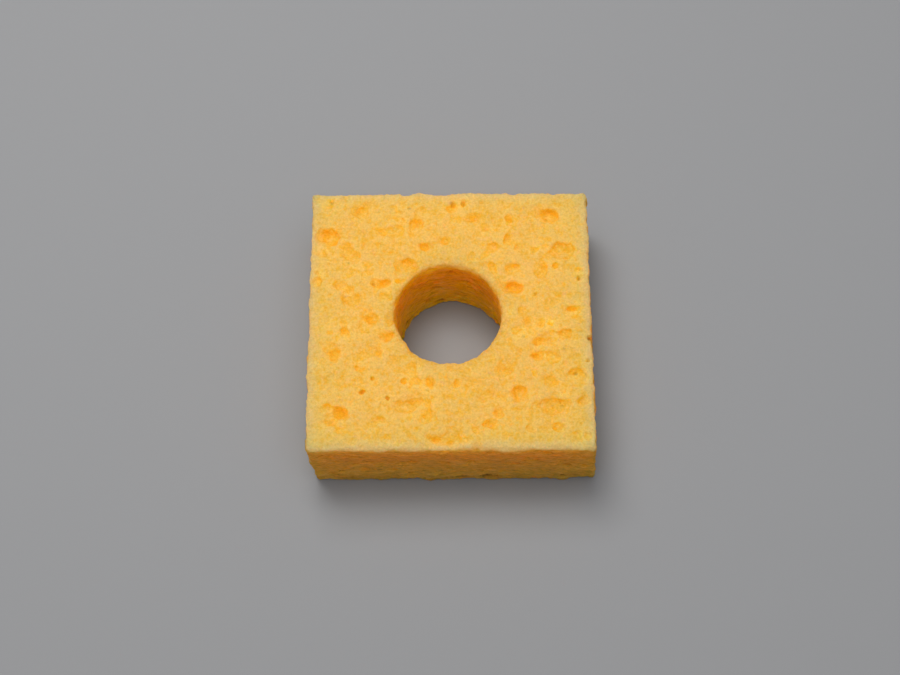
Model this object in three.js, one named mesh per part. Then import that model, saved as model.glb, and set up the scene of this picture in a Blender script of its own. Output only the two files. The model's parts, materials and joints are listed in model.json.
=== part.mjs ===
// Square cellulose sponge with a punched hole, for wiping the tip of a soldering iron.
// It is one piece of open-celled foam, cut from sheet with a blade and a round punch.
// Millimetres, +Z up. The origin is the centre of the bounding box, at the height of the bottom face.
// Seen from its front, +X is to the right and +Y is to the back.
import * as THREE from "three";

// Overall size of the slab, swollen with water as it is used.
const WIDTH = 55;
const DEPTH = 54.3;
const THICKNESS = 18.5;

// Blade and punch went through the soft sheet at a slight lean:
// the bottom face lies this far to the right of the top face.
const LEAN = 1.1;

// The punched hole, and its centre from the middle of either face.
const HOLE_DIAMETER = 21;
const HOLE_OFFSET_X = -0.3;
const HOLE_OFFSET_Y = 0.85;

// Cut foam has no sharp edges. EDGE_ROUND rolls the two faces into the sides and the hole,
// and FACE_CORNER_RADIUS rounds the corners of the flat that is left on each face.
const EDGE_ROUND = 0.6;
const FACE_CORNER_RADIUS = 0.4;

// How finely the rounds are divided.
const HOLE_SEGMENTS = 72;
const CORNER_SEGMENTS = 5;
const EDGE_SEGMENTS = 3;

// Points of an arc of a given radius, as many as its share of a turn needs.
function arcPoints(centreX, centreY, radius, fromTurn, toTurn, segments) {
  const arc = new THREE.Path();
  arc.absarc(centreX, centreY, radius, fromTurn * 2 * Math.PI, toTurn * 2 * Math.PI);
  return arc.getSpacedPoints(segments);
}

// The slab's outline at the height where its sides are at their widest.
function slabOutline() {
  const radius = FACE_CORNER_RADIUS + EDGE_ROUND;
  const x = WIDTH / 2 - radius;
  const y = DEPTH / 2 - radius;
  return new THREE.Shape([
    ...arcPoints(x, y, radius, 0, 0.25, CORNER_SEGMENTS),
    ...arcPoints(-x, y, radius, 0.25, 0.5, CORNER_SEGMENTS),
    ...arcPoints(-x, -y, radius, 0.5, 0.75, CORNER_SEGMENTS),
    ...arcPoints(x, -y, radius, 0.75, 1, CORNER_SEGMENTS),
  ]);
}

// The punch's circle. Its last point falls on its first and is left out.
function punchedHole() {
  const radius = HOLE_DIAMETER / 2;
  const points = arcPoints(HOLE_OFFSET_X, HOLE_OFFSET_Y, radius, 0, 1, HOLE_SEGMENTS);
  return new THREE.Path(points.slice(0, -1));
}

// The slab stands on z = 0, with both faces rolled over into their sides by EDGE_ROUND
// and the sides themselves at the outline's own size.
function roundedSlab(outline) {
  const slab = new THREE.ExtrudeGeometry(outline, {
    depth: THICKNESS - 2 * EDGE_ROUND,
    steps: 1,
    bevelEnabled: true,
    bevelThickness: EDGE_ROUND,
    bevelSize: EDGE_ROUND,
    bevelOffset: -EDGE_ROUND,
    bevelSegments: EDGE_SEGMENTS,
  });
  slab.translate(0, 0, EDGE_ROUND);
  return slab;
}

// Slides every layer sideways by its height, so that the bottom face lies LEAN to the right
// of the top face and the two lie evenly about the origin.
function lean(slab) {
  const slidePerHeight = -LEAN / THICKNESS;
  slab.applyMatrix4(new THREE.Matrix4().makeShear(0, 0, 0, 0, slidePerHeight, 0));
  slab.translate(LEAN / 2, 0, 0);
  return slab;
}

function cleaningSponge() {
  const outline = slabOutline();
  outline.holes.push(punchedHole());
  const foam = new THREE.MeshStandardMaterial({ color: 0xedb650, roughness: 0.9, metalness: 0 });
  const sponge = new THREE.Mesh(lean(roundedSlab(outline)), foam);
  sponge.name = "cleaning_sponge";
  return sponge;
}

const part = new THREE.Group();
part.add(cleaningSponge());
export default part;
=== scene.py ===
"""A square cellulose sponge with a punched hole, for wiping the tip of a soldering iron.

Laid out as an add-on: sizes, colours and the studio are properties, the foam slab and the studio
are operators, and a panel in the 3D view's sidebar lists them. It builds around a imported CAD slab.
The foam is worked out in millimetres, and the finished mesh is in metres, as the CAD frame is.
"""

import json
import math

import bmesh
import bpy
import numpy as np
from mathutils import Matrix, Vector


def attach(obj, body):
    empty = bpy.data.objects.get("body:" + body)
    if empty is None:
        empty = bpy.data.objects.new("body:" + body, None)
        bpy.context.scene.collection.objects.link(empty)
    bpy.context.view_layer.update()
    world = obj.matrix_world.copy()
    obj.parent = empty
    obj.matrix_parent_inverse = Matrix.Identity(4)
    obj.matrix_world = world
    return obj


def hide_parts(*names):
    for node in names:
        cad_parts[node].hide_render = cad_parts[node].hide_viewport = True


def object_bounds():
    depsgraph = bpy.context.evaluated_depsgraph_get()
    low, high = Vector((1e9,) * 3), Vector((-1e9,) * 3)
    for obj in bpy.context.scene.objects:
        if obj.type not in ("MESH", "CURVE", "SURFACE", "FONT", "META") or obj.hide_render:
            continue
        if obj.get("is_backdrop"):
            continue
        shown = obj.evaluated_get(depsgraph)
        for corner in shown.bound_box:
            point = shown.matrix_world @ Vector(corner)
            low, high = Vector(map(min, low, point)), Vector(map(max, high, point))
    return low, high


bl_info = {
    "name": "Tip-cleaning sponge",
    "version": (1, 0, 0),
    "blender": (4, 5, 0),
    "location": "3D View > Sidebar > Sponge",
    "description": "Turns a plain CAD slab into open-celled cellulose foam and lights it",
    "category": "Add Mesh",
}

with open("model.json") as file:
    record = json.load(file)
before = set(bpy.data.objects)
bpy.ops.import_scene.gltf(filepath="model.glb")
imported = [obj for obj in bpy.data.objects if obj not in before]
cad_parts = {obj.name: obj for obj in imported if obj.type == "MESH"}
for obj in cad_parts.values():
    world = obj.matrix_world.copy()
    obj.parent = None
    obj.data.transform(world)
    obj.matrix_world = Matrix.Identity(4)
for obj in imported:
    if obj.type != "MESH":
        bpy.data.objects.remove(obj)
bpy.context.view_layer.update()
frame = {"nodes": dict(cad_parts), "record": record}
SLAB_NODE = "cleaning_sponge"
MM = 0.001

# ---------------------------------------------------------------- what the foam is cut from, in mm

# Rounding of the slab's edges before the foam is cut.
EDGE_ROUND = 0.6
# How far in the foam's surface may lie.
DEEPEST = 3.0
# Room round a cell in the block, for the bends and the soft rims.
CELL_MARGIN = 0.9

# Lumps that bend the cells out of round: their spacing, and how far they move a point.
BENDS = (
    ((2.6, 2.6, 2.0), (0.45, 0.45, 0.15)),
    ((1.1, 1.1, 1.1), (0.22, 0.22, 0.10)),
)
# Lumps that rumple the finished surface: their spacing and height.
RUMPLES = (
    ((5.0, 5.0, 3.0), 0.12),
    ((2.4, 2.4, 0.9), 0.22),
    ((1.2, 1.2, 0.5), 0.20),
    ((0.6, 0.6, 0.4), 0.08),
)
# Small bubbles all over the surface: their size, and how far their middles lie under their rims.
BUBBLES = (
    ((1.3, 1.3, 0.55), 0.22),
    ((0.7, 0.7, 0.35), 0.16),
)

# How round the rims of the pores, the cells and the slits are.
PORE_RIM = 0.9
CELL_RIM = 0.55
SLIT_RIM = 0.2

# Random cells: their radius, how many places are tried, and how far in their middles may lie.
# Only the small ones reach the upper face.
RANDOM_CELLS = (
    (1.5, 500, 1.0),
    (0.85, 7000, 0.35),
)
# The smallest and largest half sizes of the slits between the walls' layers, and of the gaps along
# the lower edges: along, across and up.
SLIT_TRIES = 800
SLIT_SIZES = ((1.2, 0.9, 0.16), (2.6, 1.5, 0.34))
GAP_SPACING = 2.4
GAP_SIZES = ((1.0, 1.0, 0.25), (2.4, 2.4, 0.55))
# The foam in the gaps is darkened with painted shade up to this height.
GAP_HEIGHT = 2.1

# How much deeper a pore of the upper face gets with each millimetre towards the back.
PORE_SLANT = 0.3

# The large pores that open on the upper face: place from the middle of that face (right, back),
# width, length and depth, all in millimetres.
UPPER_PORES = (
    (-24.0, 17.3, 4.6, 4.2, 1.5),
    (-17.5, 23.2, 3.4, 2.4, 1.0),
    (-6.2, 20.3, 2.8, 2.2, 1.3),
    (-13.5, 7.1, 3.4, 2.2, 0.9),
    (-8.3, 10.9, 4.6, 3.4, 0.9),
    (-20.0, 13.0, 4.0, 3.0, 0.6),
    (-21.7, 6.7, 2.2, 1.6, 0.7),
    (-19.3, 3.4, 3.8, 2.6, 0.7),
    (-15.3, -0.3, 2.9, 2.2, 1.2),
    (-10.0, 18.3, 2.8, 2.8, 0.6),
    (-5.0, 15.3, 1.8, 1.8, 1.0),
    (-1.0, 16.8, 2.6, 1.6, 0.7),
    (5.0, 21.8, 3.6, 2.0, 0.8),
    (12.5, 21.1, 2.2, 1.8, 1.1),
    (19.6, 22.1, 4.2, 3.2, 1.1),
    (22.2, 14.3, 5.0, 3.6, 0.9),
    (12.4, 10.2, 3.6, 2.0, 0.6),
    (12.4, 6.3, 4.2, 3.0, 1.7),
    (18.3, 10.2, 1.5, 1.4, 1.0),
    (23.9, 1.7, 2.6, 1.6, 1.1),
    (15.3, -1.0, 1.6, 1.4, 0.8),
    (22.3, -3.6, 2.8, 1.5, 0.9),
    (18.2, -5.0, 4.4, 1.8, 0.9),
    (16.9, -8.0, 1.8, 1.6, 0.9),
    (-22.3, -7.9, 2.4, 2.2, 1.2),
    (-14.5, -7.6, 3.0, 2.4, 0.8),
    (-20.0, -2.6, 1.7, 1.5, 0.9),
    (-12.2, -3.8, 2.4, 1.4, 1.0),
    (-4.1, -13.7, 2.2, 2.0, 1.1),
    (-8.6, -18.4, 4.2, 2.2, 1.0),
    (-4.4, -20.2, 1.8, 1.8, 1.1),
    (-21.4, -19.8, 3.8, 2.8, 1.5),
    (-22.6, -21.6, 2.6, 2.2, 1.0),
    (-13.9, -21.2, 2.6, 1.4, 0.7),
    (-1.6, -25.1, 5.2, 1.9, 1.3),
    (1.0, -13.9, 1.2, 1.8, 1.1),
    (10.3, -10.8, 2.6, 1.6, 0.8),
    (13.4, -16.0, 4.6, 3.0, 1.1),
    (7.8, -16.8, 4.4, 2.2, 0.6),
    (19.4, -18.8, 6.4, 4.4, 1.2),
    (9.2, -19.6, 1.8, 1.2, 1.0),
    (8.0, -22.3, 3.2, 2.4, 0.9),
    (24.0, -12.0, 2.6, 2.2, 1.0),
    (19.6, -13.6, 3.0, 2.2, 0.6),
    (25.2, -17.2, 2.4, 1.8, 0.8),
    (5.0, -27.0, 1.8, 1.2, 0.8),
)

# Narrow pits that show as dark specks on the upper face, their middles darkened further with painted shade:
# place, width and depth.
UPPER_PITS = (
    (-15.0, 7.4, 0.8, 1.6),
    (-20.0, 11.9, 0.7, 1.4),
    (-8.0, 23.8, 0.9, 1.2),
    (-23.5, 25.2, 1.1, 1.5),
    (-15.9, -3.1, 0.7, 1.3),
    (-15.1, -12.6, 0.9, 1.3),
    (-17.0, -15.2, 1.1, 1.2),
    (-12.1, -16.7, 1.1, 1.2),
    (-4.3, -15.2, 0.8, 1.2),
    (0.5, 25.0, 1.2, 1.5),
    (2.7, 25.0, 1.2, 1.5),
    (19.4, 21.6, 1.0, 1.8),
    (14.3, -4.0, 1.0, 1.2),
    (22.0, -6.7, 0.9, 1.2),
    (26.9, -4.4, 1.3, 1.4),
    (24.2, -11.6, 1.0, 2.0),
    (26.6, -9.1, 1.2, 1.4),
    (25.4, 8.4, 1.3, 1.2),
    (21.3, -18.2, 0.8, 2.0),
    (16.8, 5.0, 0.8, 1.2),
)


class SpongeSizes(bpy.types.PropertyGroup):
    """How finely the foam is worked out, and the shape of its cells."""

    mesh_step: bpy.props.FloatProperty(
        name="Mesh step", description="Distance between the foam's vertices",
        default=0.18 * MM, min=0.1 * MM, max=MM, precision=5, unit="LENGTH",
    )
    block_step: bpy.props.FloatProperty(
        name="Block step", description="Distance between the points where the foam is worked out",
        default=0.2 * MM, min=0.1 * MM, max=MM, precision=5, unit="LENGTH",
    )
    flatness: bpy.props.FloatProperty(
        name="Cell flatness", description="Height of a cell as a share of its width",
        default=0.34, min=0.1, max=1.0, subtype="FACTOR",
    )
    pore_depth: bpy.props.FloatProperty(
        name="Pore depth", description="Depth of the placed pores, as a share of their listed depth",
        default=1.0, min=0.0, max=2.0, subtype="FACTOR",
    )
    seed: bpy.props.IntProperty(
        name="Seed", description="Starts the random placing of the small cells", default=7,
    )


def colour_property(name, description, value):
    """A colour that a user may change, as scene-linear red, green and blue."""
    return bpy.props.FloatVectorProperty(
        name=name, description=description, subtype="COLOR", size=3, min=0, max=1, default=value,
    )


class SpongeColours(bpy.types.PropertyGroup):
    """The foam's colours."""

    # Crest, body and pore: the foam's colour, paler on crests and deeper in hollows, as painted shade.
    crest: colour_property("Crests", "The foam's uppermost, driest skin", (0.985, 0.600, 0.135))
    body: colour_property("Body", "The foam just under its cut face", (0.98, 0.53, 0.06))
    pore: colour_property("Pores", "Steep foam inside a pore", (0.97, 0.445, 0.016))
    rim: colour_property("Rims", "Dry, pale foam along the outer edges", (0.96, 0.64, 0.25))
    # The outer walls' colour is darker than the upper face's: partly painted shade, partly the walls' own
    # layered foam.
    wall: colour_property("Walls", "The layered foam of the sides", (0.84, 0.42, 0.04))
    # The hole's wall is brighter and more saturated than the outer walls: painted light, for the orange
    # light that bounces round the hole.
    bore: colour_property("Bore", "The layered foam inside the hole", (1.0, 0.58, 0.002))
    # Painted shade: a darker colour in the walls' slits and hollows.
    slit_shade: colour_property("Slits", "The wetter foam deep in the walls' slits", (0.72, 0.26, 0.03))
    blush: colour_property("Blush", "Faintly pink patches of the dry skin", (0.97, 0.50, 0.19))
    # Painted shade in narrow pits and low gaps along the lower edges.
    shade: colour_property("Shade", "The foam in narrow pits and low gaps", (0.16, 0.06, 0.015))


class StudioSettings(bpy.types.PropertyGroup):
    """Floor, lights and camera."""

    floor: colour_property("Floor", "The pale floor's colour", (0.355, 0.358, 0.368))
    room: bpy.props.FloatProperty(
        name="Room light", description="Strength of the even light from all round", default=0.13, min=0,
    )
    key: bpy.props.FloatProperty(
        name="Key light", description="Power of the soft light above and behind", default=1.47, min=0,
        unit="POWER",
    )
    overhead: bpy.props.FloatProperty(
        name="Overhead light", description="Strength of the wide, distant light above", default=1.0, min=0,
    )
    lens: bpy.props.FloatProperty(
        name="Lens", description="Focal length", default=65.4, min=10, unit="CAMERA",
    )
    distance: bpy.props.FloatProperty(
        name="Distance", description="From the camera to what it is aimed at", default=0.3372,
        unit="LENGTH",
    )


# ---------------------------------------------------------------- the slab, read off the CAD mesh


class Slab:
    """The CAD slab's sizes in millimetres, and how far in any point lies."""

    def __init__(self, node):
        points = vertex_places(frame["nodes"][node].data) / MM
        self.low, self.high = points.min(axis=0), points.max(axis=0)
        self.thickness = self.high[2]
        opening = np.array(frame["record"]["physics"]["openings"][0]["box_m"]) / MM
        middle = opening.mean(axis=0)
        radii = np.hypot(points[:, 0] - middle[0], points[:, 1] - middle[1])
        hole = points[radii < (radii.min() + self.high[1]) / 2]
        # The hole's axis leans as the sides do: its place at each height is a straight line.
        self.slope = np.polyfit(hole[:, 2], hole[:, :2], 1)[0]
        self.half = np.abs(self.stood_up(points)).max(axis=0)
        upright = self.stood_up(hole)[:, :2]
        self.hole_centre = upright.mean(axis=0)
        self.hole_radius = np.hypot(*(upright - self.hole_centre).T).min()

    def stood_up(self, points):
        """The points as they would be if the sides stood upright, from the slab's middle."""
        moved = points.copy()
        moved[..., 2] -= self.thickness / 2
        moved[..., :2] -= self.slope * moved[..., 2:]
        return moved

    def leaned(self, x, y, z):
        """A place on the leaning slab, from a place on the upright one and a height."""
        shift = self.slope * (z - self.thickness / 2)
        return np.array([x + shift[0], y + shift[1], z])

    def sides(self, points):
        """How far in each point lies from the top, bottom, left, right, front and back and the hole."""
        x, y, z = np.moveaxis(self.stood_up(points), -1, 0)
        wide, deep, high = self.half
        hole = np.hypot(x - self.hole_centre[0], y - self.hole_centre[1]) - self.hole_radius
        return np.stack([high - z, high + z, wide + x, wide - x, deep + y, deep - y, hole], axis=-1)

    def outside(self, points):
        """Distance to the slab's rounded surface, negative inside."""
        upright = self.stood_up(points)
        q = np.abs(upright) - (self.half - EDGE_ROUND)
        box = np.linalg.norm(np.maximum(q, 0), axis=-1) + np.minimum(q.max(axis=-1), 0)
        from_axis = np.hypot(upright[..., 0] - self.hole_centre[0], upright[..., 1] - self.hole_centre[1])
        hollow = self.hole_radius + EDGE_ROUND - from_axis
        edge = np.hypot(np.maximum(hollow, 0), np.maximum(q[..., 2], 0))
        hole = edge + np.minimum(np.maximum(hollow, q[..., 2]), 0)
        return np.maximum(box, hole) - EDGE_ROUND


def vertex_places(mesh):
    """The mesh's vertices, one row each."""
    flat = np.empty(len(mesh.vertices) * 3, np.float32)
    mesh.vertices.foreach_get("co", flat)
    return flat.reshape(-1, 3).astype(np.float64)


def vertex_normals(mesh):
    """The mesh's outward directions, one row for each vertex."""
    flat = np.empty(len(mesh.vertices) * 3, np.float32)
    mesh.vertex_normals.foreach_get("vector", flat)
    return flat.reshape(-1, 3).astype(np.float64)


def vertex_pairs(mesh):
    """The mesh's edges, one row of two vertices each."""
    flat = np.empty(len(mesh.edges) * 2, np.int32)
    mesh.edges.foreach_get("vertices", flat)
    return flat.reshape(-1, 2)


# ---------------------------------------------------------------- the foam as numbers in space


class Lattice:
    """Numbers on a regular lattice, each point with one or more, read smoothly between its points."""

    def __init__(self, values, origin, step):
        self.shape = np.array(values.shape[:3])
        self.values = values.reshape(self.shape.prod(), -1)
        self.origin, self.step = origin, step

    def at(self, points):
        """The numbers at each point, one row each."""
        place = (points - self.origin) / self.step
        low = np.clip(place.astype(np.int32), 0, self.shape - 2)
        share = np.clip(place - low, 0, 1).astype(np.float32)
        across, along = self.shape[1] * self.shape[2], self.shape[2]
        first = low[:, 0] * across + low[:, 1] * along + low[:, 2]
        total = 0
        for i, j, k in np.ndindex(2, 2, 2):
            weight = share[:, 0] if i else 1 - share[:, 0]
            weight = weight * (share[:, 1] if j else 1 - share[:, 1])
            weight = weight * (share[:, 2] if k else 1 - share[:, 2])
            total = total + weight[:, None] * self.values[first + i * across + j * along + k]
        return total


def lumps(shape, spacing, rng):
    """Smooth random numbers from -1 to 1 that fill an array, with lumps about so many steps apart."""
    field = rng.uniform(-1, 1, [math.ceil(n / s) + 2 for n, s in zip(shape, spacing)]).astype(np.float32)
    for axis, (count, size) in enumerate(zip(shape, spacing)):
        place = np.arange(count) / size
        low = place.astype(int)
        share = place - low
        share = (share * share * (3 - 2 * share)).astype(np.float32)
        share = share.reshape([-1 if a == axis else 1 for a in range(3)])
        field = np.take(field, low, axis) * (1 - share) + np.take(field, low + 1, axis) * share
    return field


def softer_of(first, second, ease):
    """The larger of two distances, with the crease between them rounded."""
    blend = np.maximum(ease - np.abs(first - second), 0) / ease
    return np.maximum(first, second) + blend * blend * ease / 4


class Block:
    """The foam on a lattice round the slab, as distances to its surface that are negative in the foam."""

    def __init__(self, slab, step, rng):
        margin = 3 * step
        self.step, self.rng = step, rng
        self.origin = slab.low - margin
        self.shape = tuple(np.ceil((slab.high - slab.low + 2 * margin) / step).astype(int) + 1)
        axes = [self.origin[a] + step * np.arange(self.shape[a]) for a in range(3)]
        self.places = np.stack(np.meshgrid(*axes, indexing="ij"), axis=-1).astype(np.float32)
        self.values = slab.outside(self.places).astype(np.float32)
        # Cells are carved in bent coordinates, so that none is a plain ellipsoid.
        for spacing, amounts in BENDS:
            for axis, amount in enumerate(amounts):
                self.places[..., axis] += amount * self.lumps(spacing)

    def lumps(self, spacing):
        """Smooth random numbers that fill the block, with lumps so many millimetres apart."""
        return lumps(self.shape, [s / self.step for s in spacing], self.rng)

    def hollows(self):
        """An empty set of cells, as distances that are negative inside a cell."""
        return np.full(self.shape, 9.0, np.float32)

    def carve(self, hollows, centre, radii, turn, slant=0.0):
        """Adds one flattened cell, turned about the vertical, and deeper to the back by the slant."""
        across = max(radii[:2]) + CELL_MARGIN
        reach = np.array([across, across, radii[2] + CELL_MARGIN])
        first = np.maximum(((centre - reach - self.origin) / self.step).astype(int), 0)
        last = np.minimum(((centre + reach - self.origin) / self.step).astype(int) + 2, self.shape)
        if np.any(last <= first):
            return
        region = tuple(slice(f, l) for f, l in zip(first, last))
        x, y, z = np.moveaxis(self.places[region] - centre.astype(np.float32), -1, 0)
        z = z + slant * y
        along = (x * math.cos(turn) + y * math.sin(turn)) / radii[0]
        aside = (y * math.cos(turn) - x * math.sin(turn)) / radii[1]
        up = z / radii[2]
        spread = np.sqrt(along**2 + aside**2 + up**2)
        pull = np.sqrt((along / radii[0]) ** 2 + (aside / radii[1]) ** 2 + (up / radii[2]) ** 2)
        distance = spread * (spread - 1) / np.maximum(pull, 1e-6)
        np.minimum(hollows[region], distance, out=hollows[region])

    def open_up(self, hollows, ease):
        """Takes the cells out of the foam, with rims rounded by about the ease."""
        self.values = softer_of(self.values, -hollows, ease)


def scattered(slab, count, shallowest, deepest, rng):
    """Random places, of which those between two depths under their nearest face are kept."""
    points = rng.uniform(slab.low - 0.6, slab.high + 0.6, (count, 3))
    depth = slab.sides(points).min(axis=1)
    return points[(depth > shallowest) & (depth < deepest)]


def lower_edge_places(slab, spacing, rng):
    """Random places along the slab's lower outer edges and the hole's lower edge."""
    wide, deep = slab.half[:2]
    places = []
    for x, y, along in ((0, -deep, wide), (0, deep, wide), (-wide, 0, deep), (wide, 0, deep)):
        for shift in rng.uniform(-along, along, int(2 * along / spacing)):
            places.append((x + shift, y) if x == 0 else (x, y + shift))
    for turn in rng.uniform(0, 2 * math.pi, int(2 * math.pi * slab.hole_radius / spacing)):
        places.append((
            slab.hole_centre[0] + slab.hole_radius * math.cos(turn),
            slab.hole_centre[1] + slab.hole_radius * math.sin(turn),
        ))
    return [slab.leaned(x, y, 0.0) for x, y in places]


def foam_block(slab, sizes, step, rng):
    """Cuts pores, cells, slits, pits and ragged lower edges into a block of foam.

    Gives the distance to the foam's surface, and that distance's slope, all through the block.
    """
    block = Block(slab, step, rng)
    top = slab.thickness

    pores = block.hollows()
    for x, y, width, length, depth in UPPER_PORES:
        rise = 0.12 * depth
        radii = (width / 2, length / 2, sizes.pore_depth * depth + rise)
        place = slab.leaned(x, y, top) + (0, 0, rise)
        block.carve(pores, place, radii, rng.uniform(-0.3, 0.3), PORE_SLANT)
    block.open_up(pores, PORE_RIM)

    # The upper face's large cells are the placed ones, and all random ones keep clear of the edges.
    cells = block.hollows()
    for radius, tries, deepest in RANDOM_CELLS:
        for centre in scattered(slab, tries, -0.4, deepest, rng):
            radii = radius * rng.uniform(0.7, 1.4, 3) * (1, 1, sizes.flatness)
            to_edge = np.sort(slab.sides(centre))[1]
            if to_edge > radius + 0.3 and (radius < 1 or centre[2] < top - 1.2):
                block.carve(cells, centre, radii, rng.uniform(0, math.pi))
    block.open_up(cells, CELL_RIM)

    slits = block.hollows()
    for centre in scattered(slab, SLIT_TRIES, -0.2, 0.6, rng):
        radii = rng.uniform(*SLIT_SIZES)
        # The layers part more often low down, where the foam is wetter.
        if 1.2 < centre[2] < rng.uniform(3.0, top - 2.0):
            block.carve(slits, centre, radii, rng.uniform(0, math.pi))
    for x, y, width, depth in UPPER_PITS:
        block.carve(slits, slab.leaned(x, y, top), (0.4 * width, 0.4 * width, depth), 0)
    for centre in lower_edge_places(slab, GAP_SPACING, rng):
        # Some nick the edge itself, and the rest leave a lip of foam under them.
        centre[2] = 0.0 if rng.random() < 0.4 else rng.uniform(1.1, 1.6)
        radii = rng.uniform(*GAP_SIZES)
        block.carve(slits, centre, radii, rng.uniform(0, math.pi))
    block.open_up(slits, SLIT_RIM)

    for spacing, amount in RUMPLES:
        block.values += amount * block.lumps(spacing)
    slopes = np.gradient(block.values, step)
    return Lattice(np.stack([block.values, *slopes], axis=-1), block.origin, step)


def bubbled(points, spacing, rng):
    """Distance of each point from the nearest of many small scattered bubbles, in bubble widths."""
    wrap = 64
    shifts = rng.uniform(0.1, 0.9, (wrap, wrap, wrap, 3))
    place = points / np.array(spacing)
    base = np.floor(place).astype(int)
    nearest = np.full(len(points), 9.0)
    for step in np.ndindex(3, 3, 3):
        corner = base + step - 1
        i, j, k = (corner % wrap).T
        nearest = np.minimum(nearest, ((place - corner - shifts[i, j, k]) ** 2).sum(axis=1))
    return np.sqrt(nearest)


# ---------------------------------------------------------------- from the slab's skin to the foam's


def slab_skin(step):
    """A new object: the CAD slab's surface as an even net of small squares."""
    mesh = frame["nodes"][SLAB_NODE].data.copy()
    mesh.materials.clear()
    bm = bmesh.new()
    bm.from_mesh(mesh)
    bmesh.ops.remove_doubles(bm, verts=bm.verts, dist=1e-6)
    bm.to_mesh(mesh)
    bm.free()
    piece = bpy.data.objects.new("foam_sponge", mesh)
    bpy.context.scene.collection.objects.link(piece)
    net = piece.modifiers.new("Net", "REMESH")
    net.mode = "VOXEL"
    net.voxel_size = step * MM
    shown = piece.evaluated_get(bpy.context.evaluated_depsgraph_get())
    netted = bpy.data.meshes.new_from_object(shown)
    piece.modifiers.clear()
    piece.data = netted
    return piece


def sunk(points, normals, foam):
    """Each point, moved straight in until it meets foam."""
    depth = np.zeros(len(points))
    moving = np.arange(len(points))
    for _ in range(60):
        gap = foam.at(points[moving] - normals[moving] * depth[moving, None])[:, 0]
        open_air = (gap > 0) & (depth[moving] < DEEPEST)
        moving = moving[open_air]
        depth[moving] += np.clip(gap[open_air] * 0.8, 0.015, 0.12)
    return points - normals * depth[:, None]


def evened(values, pairs):
    """Each vertex's value, moved halfway to the mean of its neighbours' values."""
    count = len(values)
    first, second = pairs.T
    neighbours = np.bincount(pairs.ravel(), minlength=count)
    columns = values.reshape(count, -1).T
    means = [
        (np.bincount(first, column[second], count) + np.bincount(second, column[first], count)) / neighbours
        for column in columns
    ]
    return (values + np.stack(means, axis=-1).reshape(values.shape)) / 2


def relaxed(points, pairs, foam, rounds):
    """Evens out the points along the foam's surface, and keeps them on it."""
    for _ in range(rounds):
        points = evened(points, pairs)
        here = foam.at(points)
        gap = np.clip(here[:, 0], -0.15, 0.15)
        slope = here[:, 1:]
        steepness = np.maximum((slope**2).sum(axis=1), 0.05)
        points = points - slope * (gap / steepness)[:, None]
    return points


def pitted(slab, points):
    """How near the middle of a narrow pit each point is, from 0 to 1."""
    nearness = np.zeros(len(points))
    for x, y, width, _ in UPPER_PITS:
        away = points[:, :2] - slab.leaned(x, y, slab.thickness)[:2]
        nearness = np.maximum(nearness, 1.4 - np.hypot(*away.T) / (0.36 * width))
    return nearness * (points[:, 2] > slab.thickness - DEEPEST)


def move_to(mesh, points):
    """Moves the mesh's vertices to places in millimetres."""
    mesh.vertices.foreach_set("co", (points * MM).astype(np.float32).ravel())
    mesh.update()


def store(mesh, name, values):
    """Keeps one number for each vertex under a name that a material can read."""
    layer = mesh.attributes.new(name, "FLOAT", "POINT")
    layer.data.foreach_set("value", np.clip(values, 0, 1).astype(np.float32))


def unfold(mesh, slab, points, normals):
    """Gives the piece seven flat charts: the slab's six faces, and the hole's wall unrolled."""
    x, y, z = slab.stood_up(points).T
    from_axis = np.stack([x, y], axis=1) - slab.hole_centre
    radius = np.hypot(*from_axis.T)
    around = np.arctan2(from_axis[:, 1], from_axis[:, 0])
    towards_axis = -(normals[:, :2] * from_axis).sum(axis=1) / radius
    at_hole = radius < slab.hole_radius + 2 * EDGE_ROUND
    east, north, up = normals.T
    outer = [np.where(at_hole, -1, side) for side in (-north, north, -east, east)]
    facing = np.stack([up, -up, *outer, np.where(at_hole, towards_axis, -1)])

    corners = np.empty(len(mesh.loops), np.int32)
    mesh.loops.foreach_get("vertex_index", corners)
    counts = np.empty(len(mesh.polygons), np.int32)
    mesh.polygons.foreach_get("loop_total", counts)
    face = np.repeat(np.arange(len(counts)), counts)
    votes = np.stack([np.bincount(face, side[corners]) for side in facing], axis=1)
    chart = votes.argmax(axis=1)[face]

    # A face across the seam of the hole's chart keeps its corners together.
    first = (np.cumsum(counts) - counts)[face]
    turn = around[corners]
    turn -= np.round((turn - turn[first]) / (2 * math.pi)) * 2 * math.pi
    across = np.stack([x, -x, x, -x, -y, y], axis=1)[corners]
    across = np.column_stack([across, turn * slab.hole_radius])
    along = np.stack([y, y, z, z, z, z, z], axis=1)[corners]

    gap = 2.0
    wide, deep, high = slab.half
    left, right = gap + wide, 2 * gap + 3 * wide
    low_row, mid_row = gap + deep, 2 * gap + 2 * deep + high
    high_row, last_row = mid_row + gap + 2 * high, mid_row + 2 * gap + 4 * high
    middles = np.array([
        (left, low_row), (right, low_row), (left, mid_row), (right, mid_row),
        (left, high_row), (right, high_row), (gap + math.pi * slab.hole_radius + 1, last_row),
    ])
    every = np.arange(len(corners))
    uv = np.column_stack([across[every, chart], along[every, chart]]) + middles[chart]
    uv /= max(right + wide, last_row + high) + gap
    mesh.uv_layers.new(name="OFBake").data.foreach_set("uv", uv.astype(np.float32).ravel())


def store_hollow_shade(mesh, slab, points, pairs, straight_out):
    """Keeps how hollow the foam is at each vertex (lower than what is round it, steep, or deep), from which
    the material paints shade.
    """
    depth = -slab.outside(points)
    around = depth
    for _ in range(40):
        around = evened(around, pairs)
    tilt = 1 - (vertex_normals(mesh) * straight_out).sum(axis=1)
    store(mesh, "hollow", 0.22 + 1.1 * (depth - around) + 0.75 * tilt + 0.22 * depth)


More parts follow.
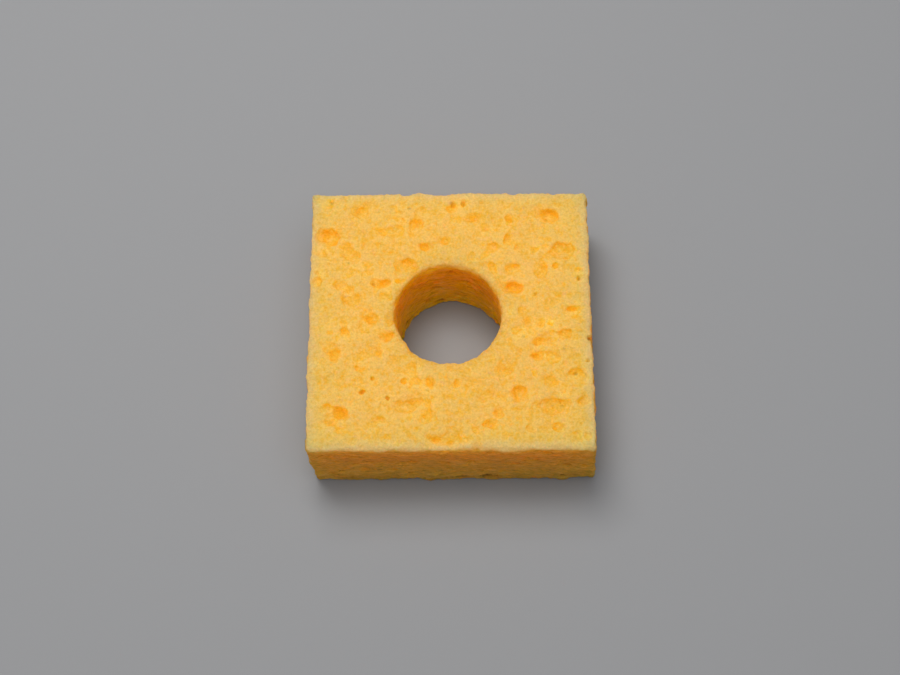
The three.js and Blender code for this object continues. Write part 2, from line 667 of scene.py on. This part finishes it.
def store_regions(mesh, slab, points, flat):
    """Keeps where the walls, the hole, the outer rims, and the painted shade of the low gaps and pits are.
    """
    skin = slab.sides(flat)
    # The underside is as deep in colour as the walls, and only the upper face is pale; the walls' deeper
    # colour is partly painted shade.
    store(mesh, "wall", np.minimum(skin[:, 0] / EDGE_ROUND - 0.7, skin[:, 1] / EDGE_ROUND + 0.6))
    store(mesh, "bore", 2 - skin[:, 6] / EDGE_ROUND)
    foam = slab.sides(points)
    store(mesh, "rim", 1 - foam[:, 2:6].min(axis=1) / 2.4)
    from_wall = foam[:, 2:].min(axis=1)
    # Painted shade: the foam in the gaps low on the walls, and round the middles of the narrow pits, is
    # darkened.
    gaps = np.minimum((from_wall - 0.35) / 0.4, (4.0 - from_wall) / 1.5) * (points[:, 2] < GAP_HEIGHT)
    store(mesh, "shade", np.maximum(gaps, 0.4 * np.clip(pitted(slab, points), 0, 1)))


def build_foam(sizes):
    """The foam slab as a new object, with what its material needs stored on its vertices."""
    rng = np.random.default_rng(sizes.seed)
    coarseness = 1.0
    slab = Slab(SLAB_NODE)
    foam = foam_block(slab, sizes, sizes.block_step / MM * coarseness, rng)
    piece = slab_skin(sizes.mesh_step / MM * coarseness)
    mesh = piece.data
    flat = vertex_places(mesh) / MM
    straight_out = vertex_normals(mesh)
    pairs = vertex_pairs(mesh)
    unfold(mesh, slab, flat, straight_out)

    # Near an edge the way in turns gradually, so that the two faces' points don't cross.
    way_out = straight_out
    for _ in range(60):
        way_out = evened(way_out, pairs)
    way_out /= np.linalg.norm(way_out, axis=1, keepdims=True)
    points = relaxed(sunk(flat, way_out, foam), pairs, foam, 10)
    move_to(mesh, points)
    swelling = sum(
        amount * (np.clip(bubbled(points, spacing, rng), 0, 0.9) - 0.5) for spacing, amount in BUBBLES
    )
    points += vertex_normals(mesh) * swelling[:, None]
    # The soft lower face lies flat where it meets the floor.
    points[:, 2] = np.maximum(points[:, 2], 0)
    move_to(mesh, points)
    mesh.shade_smooth()

    store_hollow_shade(mesh, slab, points, pairs, straight_out)
    store_regions(mesh, slab, points, flat)
    return piece


# ---------------------------------------------------------------- materials


def add_node(tree, kind, inputs, **settings):
    """Adds a node. Each of its inputs is given a socket to link to, or a value."""
    node = tree.nodes.new(kind)
    for name, value in settings.items():
        setattr(node, name, value)
    for key, value in inputs.items():
        if isinstance(value, bpy.types.NodeSocket):
            tree.links.new(value, node.inputs[key])
        else:
            node.inputs[key].default_value = value
    return node


def sum_of(tree, *values):
    """The sockets' values added up."""
    total = values[0]
    for value in values[1:]:
        total = add_node(tree, "ShaderNodeMath", {0: total, 1: value}, operation="ADD").outputs[0]
    return total


def product(tree, *values):
    """The sockets' values multiplied together."""
    total = values[0]
    for value in values[1:]:
        total = add_node(tree, "ShaderNodeMath", {0: total, 1: value}, operation="MULTIPLY").outputs[0]
    return total


def masked(tree, first, second):
    """Two values multiplied together and kept between nought and one."""
    return add_node(
        tree, "ShaderNodeMath", {0: first, 1: second}, operation="MULTIPLY", use_clamp=True,
    ).outputs[0]


def blended(tree, amount, first, second):
    """A colour that goes from the first to the second with the amount."""
    node = add_node(tree, "ShaderNodeMix", {}, data_type="RGBA")
    for socket, value in zip((node.inputs[0], node.inputs[6], node.inputs[7]), (amount, first, second)):
        if isinstance(value, bpy.types.NodeSocket):
            tree.links.new(value, socket)
        else:
            socket.default_value = (*value, 1)
    return node.outputs[2]


def mottle_group():
    """A shader group: soft random lumps of a given size, swinging round nought by a given amount."""
    name = "Mottle"
    if name in bpy.data.node_groups:
        return bpy.data.node_groups[name]
    group = bpy.data.node_groups.new(name, "ShaderNodeTree")
    group.interface.new_socket("Vector", in_out="INPUT", socket_type="NodeSocketVector")
    group.interface.new_socket("Lumps per metre", in_out="INPUT", socket_type="NodeSocketFloat")
    group.interface.new_socket("Detail", in_out="INPUT", socket_type="NodeSocketFloat")
    group.interface.new_socket("Amount", in_out="INPUT", socket_type="NodeSocketFloat")
    group.interface.new_socket("Value", in_out="OUTPUT", socket_type="NodeSocketFloat")
    given = group.nodes.new("NodeGroupInput")
    noise = add_node(group, "ShaderNodeTexNoise", {
        "Vector": given.outputs["Vector"], "Scale": given.outputs["Lumps per metre"],
        "Detail": given.outputs["Detail"],
    })
    centred = add_node(group, "ShaderNodeMath", {0: noise.outputs["Fac"], 1: 0.5}, operation="SUBTRACT")
    result = group.nodes.new("NodeGroupOutput")
    group.links.new(product(group, centred.outputs[0], given.outputs["Amount"]), result.inputs["Value"])
    return group


def mottled(tree, vector, size, detail, amount):
    """Soft random lumps, about the size in millimetres apart, that swing round nought by the amount."""
    node = add_node(tree, "ShaderNodeGroup", {}, node_tree=mottle_group())
    tree.links.new(vector, node.inputs["Vector"])
    node.inputs["Lumps per metre"].default_value = 1 / (size * MM)
    node.inputs["Detail"].default_value = detail
    node.inputs["Amount"].default_value = amount
    return node.outputs["Value"]


def squashed(tree, scale):
    """The piece's own coordinates, scaled."""
    place = add_node(tree, "ShaderNodeTexCoord", {})
    mapping = add_node(tree, "ShaderNodeMapping", {"Vector": place.outputs["Object"], "Scale": scale})
    return mapping.outputs["Vector"]


def stored(tree, name):
    """The number that the piece's vertices keep under a name."""
    return add_node(tree, "ShaderNodeAttribute", {}, attribute_name=name).outputs["Fac"]


def foam_material(colours):
    """Cellulose foam: pale crests and deeper orange hollows as painted shade, pale outer rims, layered
    walls, painted light in the hole, and painted shade in slits, pits and low gaps.
    """
    material = bpy.data.materials.new("cellulose foam")
    material.use_nodes = True
    tree = material.node_tree
    shader = tree.nodes["Principled BSDF"]
    shader.inputs["Roughness"].default_value = 0.9
    shader.inputs["Specular IOR Level"].default_value = 0.25
    shader.inputs["Subsurface Weight"].default_value = 0.75
    shader.subsurface_method = "BURLEY"
    shader.inputs["Subsurface Radius"].default_value = (1.0, 0.27, 0.055)
    shader.inputs["Subsurface Scale"].default_value = 22 * MM

    even = squashed(tree, (1, 1, 2))
    layered = squashed(tree, (0.3, 0.3, 2))
    wall = stored(tree, "wall")
    rim = stored(tree, "rim")
    # Painted shade: the colour goes from the crests' to the pores' with how hollow the foam is, mixed with
    # random tone.
    hollow_shade_and_tone = sum_of(
        tree, stored(tree, "hollow"), mottled(tree, even, 4.5, 2, 0.5),
        mottled(tree, even, 1.5, 2, 1.1), mottled(tree, even, 0.6, 2, 1.4),
    )
    ramp = add_node(tree, "ShaderNodeValToRGB", {"Fac": hollow_shade_and_tone})
    ramp.color_ramp.elements[0].position = 0.12
    ramp.color_ramp.elements[0].color = (*colours.crest, 1)
    ramp.color_ramp.elements[1].position = 1.0
    ramp.color_ramp.elements[1].color = (*colours.pore, 1)
    ramp.color_ramp.elements.new(0.5).color = (*colours.body, 1)

    # The upper face: faintly pink patches, and a ragged pale rim.
    on_top = add_node(tree, "ShaderNodeMath", {0: 1.0, 1: wall}, operation="SUBTRACT", use_clamp=True)
    pink = masked(tree, sum_of(tree, mottled(tree, even, 1.1, 3, 3.6), -0.35), 0.8)
    dry = masked(tree, sum_of(tree, rim, mottled(tree, even, 1.6, 2, 1.4)), on_top.outputs[0])
    colour = blended(tree, pink, ramp.outputs["Color"], colours.blush)
    colour = blended(tree, product(tree, dry, 0.75), colour, colours.rim)

    # The walls: streaks in layers, painted light in the hole, and painted shade, a darker colour, in the
    # slits and hollows.
    walled = masked(tree, wall, sum_of(tree, mottled(tree, layered, 0.9, 3, 2.4), 0.8))
    sunken = product(tree, stored(tree, "hollow"), 1.5)
    wall_hollow_shade = masked(tree, sum_of(tree, sunken, mottled(tree, layered, 0.6, 3, 1.2), -0.75), 0.7)
    # The hole's wall gets its brighter colour here, painted light for the light that bounces round the
    # hole.
    layers = blended(tree, stored(tree, "bore"), colours.wall, colours.bore)
    layers = blended(tree, wall_hollow_shade, layers, colours.slit_shade)
    colour = blended(tree, walled, colour, layers)

    # Painted shade in the low gaps and the narrow pits.
    colour = blended(tree, product(tree, stored(tree, "shade"), 0.8), colour, colours.shade)
    threads = product(tree, mottled(tree, layered, 0.5, 3, 1.1), walled)
    grain = sum_of(tree, mottled(tree, even, 0.4, 3, 0.42), threads, 0.97)
    speckled = add_node(tree, "ShaderNodeVectorMath", {0: colour}, operation="SCALE")
    tree.links.new(grain, speckled.inputs["Scale"])
    colour = speckled.outputs["Vector"]
    tree.links.new(colour, shader.inputs["Base Color"])

    cells = add_node(tree, "ShaderNodeTexVoronoi", {
        "Vector": even, "Scale": 1 / (0.42 * MM), "Smoothness": 0.4,
    }, feature="SMOOTH_F1")
    pits = sum_of(tree, product(tree, cells.outputs["Distance"], 0.7), mottled(tree, even, 0.2, 3, 1.0))
    bump = add_node(tree, "ShaderNodeBump", {"Height": pits, "Strength": 1.0, "Distance": 0.16 * MM})
    tree.links.new(bump.outputs["Normal"], shader.inputs["Normal"])
    return material


def floor_material(colour):
    """A plain matt floor, very slightly uneven in tone."""
    material = bpy.data.materials.new("pale floor")
    material.use_nodes = True
    tree = material.node_tree
    shader = tree.nodes["Principled BSDF"]
    shader.inputs["Roughness"].default_value = 0.8
    place = squashed(tree, (1, 1, 1))
    tone = sum_of(tree, mottled(tree, place, 6.0, 3, 0.6), 0.5)
    darker = tuple(0.985 * c for c in colour)
    tree.links.new(blended(tree, tone, darker, colour), shader.inputs["Base Color"])
    return material


# ---------------------------------------------------------------- operators and panel


class SPONGE_OT_foam(bpy.types.Operator):
    """Cut the open-celled foam slab out of the CAD slab"""

    bl_idname = "sponge.foam"
    bl_label = "Foam slab"

    def execute(self, context):
        piece = build_foam(context.scene.sponge_sizes)
        piece.data.materials.append(foam_material(context.scene.sponge_colours))
        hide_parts(SLAB_NODE)
        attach(piece, "root")
        return {"FINISHED"}


class SPONGE_OT_studio(bpy.types.Operator):
    """Lay the pale floor and set the lights and the camera"""

    bl_idname = "sponge.studio"
    bl_label = "Studio"

    def execute(self, context):
        studio = context.scene.sponge_studio
        lay_floor(studio.floor)
        light_room(context.scene, studio.room)
        low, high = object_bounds()
        middle = (low + high) / 2
        key = bpy.data.lights.new("key", "AREA")
        key.shape = "RECTANGLE"
        key.size, key.size_y = 0.24, 0.28
        add_light(key, middle, (-0.10, 0.16, 0.50), studio.key, (1.0, 0.98, 0.95))
        overhead = bpy.data.lights.new("overhead", "SUN")
        overhead.angle = math.radians(60)
        add_light(overhead, middle, (0.0, -0.06, 0.60), studio.overhead, (0.97, 0.98, 1.0))
        context.scene.camera = add_camera(studio)
        context.scene.view_settings.view_transform = "Standard"
        return {"FINISHED"}


def lay_floor(colour):
    mesh = bpy.data.meshes.new("floor")
    bm = bmesh.new()
    bmesh.ops.create_grid(bm, x_segments=1, y_segments=1, size=3.0)
    bm.to_mesh(mesh)
    bm.free()
    mesh.materials.append(floor_material(colour))
    floor = bpy.data.objects.new("floor", mesh)
    bpy.context.scene.collection.objects.link(floor)
    floor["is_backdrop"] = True


def light_room(scene, strength):
    """Even light from all round, a touch cooler than the key light."""
    world = bpy.data.worlds.new("soft room")
    world.use_nodes = True
    background = world.node_tree.nodes["Background"]
    background.inputs["Color"].default_value = (0.95, 0.97, 1.0, 1)
    background.inputs["Strength"].default_value = strength
    scene.world = world


def add_light(light, aim, offset, energy, colour):
    """Hangs a light at an offset from what it is aimed at."""
    light.energy = energy
    light.color = colour
    lamp = bpy.data.objects.new(light.name, light)
    bpy.context.scene.collection.objects.link(lamp)
    lamp.location = aim + Vector(offset)
    lamp.rotation_mode = "QUATERNION"
    lamp.rotation_quaternion = (-Vector(offset)).to_track_quat("-Z", "Y")


def add_camera(studio):
    """A camera that looks down on the slab from the front, very slightly turned and rolled."""
    camera = bpy.data.objects.new("camera", bpy.data.cameras.new("camera"))
    bpy.context.scene.collection.objects.link(camera)
    camera.data.sensor_width = 36
    camera.data.lens = studio.lens
    camera.data.clip_start = 0.01
    camera.data.clip_end = 20
    elevation, turn, roll = (math.radians(degrees) for degrees in (67.46, -0.83, 0.53))
    back = Vector((
        math.sin(turn) * math.cos(elevation), -math.cos(turn) * math.cos(elevation), math.sin(elevation)
    ))
    aim = Vector((-0.42, 3.42, 0)) * MM
    camera.location = aim + back * studio.distance
    camera.rotation_mode = "QUATERNION"
    facing = (-back).to_track_quat("-Z", "Y")
    camera.rotation_quaternion = facing @ Matrix.Rotation(roll, 3, "Z").to_quaternion()
    return camera


class SPONGE_PT_panel(bpy.types.Panel):
    """Lists the sponge's operators in the 3D view's sidebar"""

    bl_label = "Tip-cleaning sponge"
    bl_idname = "SPONGE_PT_panel"
    bl_space_type = "VIEW_3D"
    bl_region_type = "UI"
    bl_category = "Sponge"

    def draw(self, context):
        for operator in (SPONGE_OT_foam, SPONGE_OT_studio):
            self.layout.operator(operator.bl_idname)


CLASSES = (SpongeSizes, SpongeColours, StudioSettings, SPONGE_OT_foam, SPONGE_OT_studio, SPONGE_PT_panel)


def register():
    for cls in CLASSES:
        bpy.utils.register_class(cls)
    bpy.types.Scene.sponge_sizes = bpy.props.PointerProperty(type=SpongeSizes)
    bpy.types.Scene.sponge_colours = bpy.props.PointerProperty(type=SpongeColours)
    bpy.types.Scene.sponge_studio = bpy.props.PointerProperty(type=StudioSettings)


def unregister():
    del bpy.types.Scene.sponge_sizes
    del bpy.types.Scene.sponge_colours
    del bpy.types.Scene.sponge_studio
    for cls in reversed(CLASSES):
        bpy.utils.unregister_class(cls)


def main():
    register()
    bpy.ops.sponge.foam()
    bpy.ops.sponge.studio()


if __name__ == "__main__":
    main()
